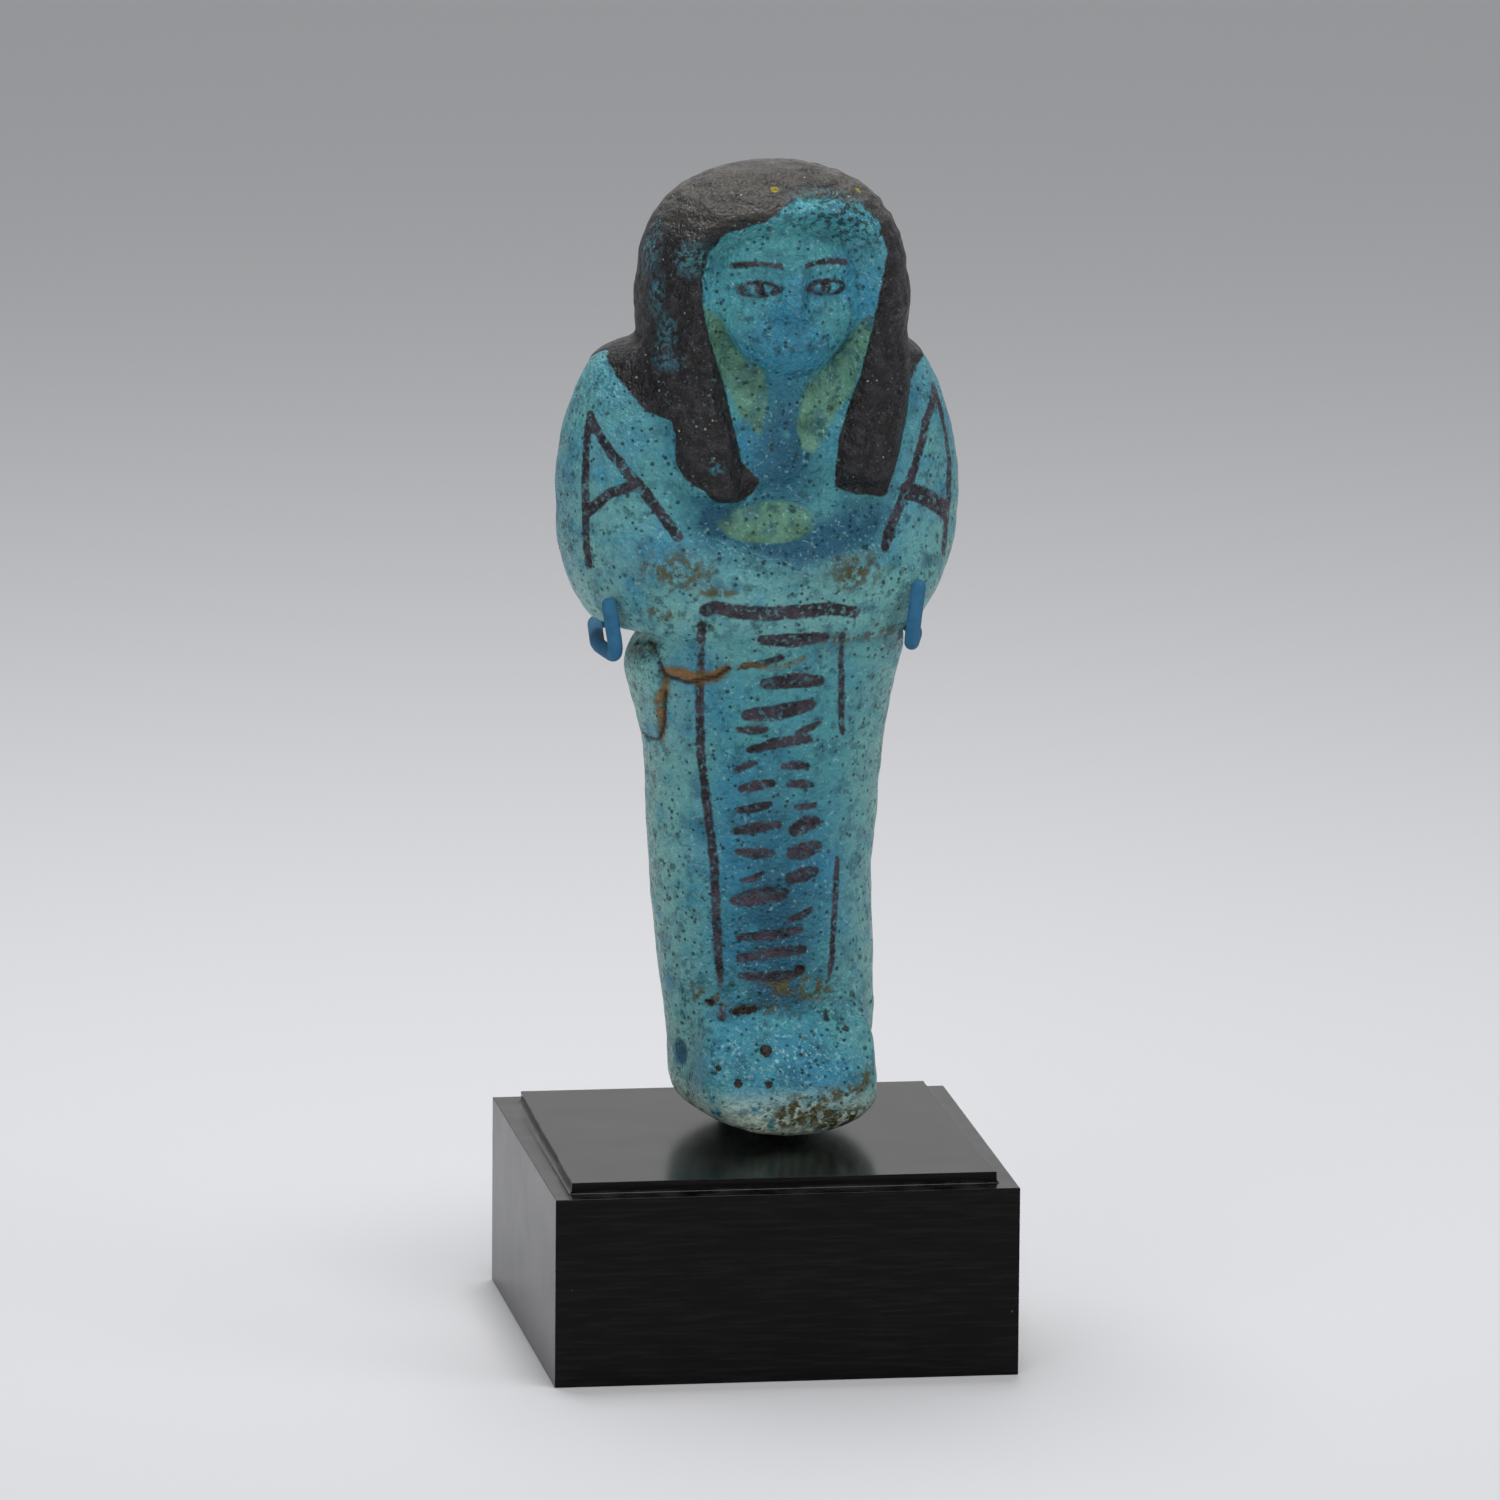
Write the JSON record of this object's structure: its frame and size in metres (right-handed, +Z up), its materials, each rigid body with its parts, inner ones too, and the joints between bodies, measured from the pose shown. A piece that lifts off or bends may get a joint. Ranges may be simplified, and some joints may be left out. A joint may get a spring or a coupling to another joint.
{
  "type": "ushabti figurine on display mount",
  "caption": "Mummy-shaped glazed funerary figurine with wig and crossed arms, standing on a square block in a bent wire cradle.",
  "frame": {"origin": "centre of the base block's underside", "axes": "+Z up, the figure's face toward -Y, +X to the viewer's right"},
  "size_m": [0.05, 0.05, 0.1269],
  "materials": {
    "faience": "worn turquoise glaze with black painted wig and strokes",
    "black_block": "satin black, fine level grain",
    "painted_wire": "flat blue paint"
  },
  "bodies": {
    "root": {"ushabti_figure": "faience", "base_block": "black_block", "cradle": "painted_wire"}
  },
  "joints": []
}
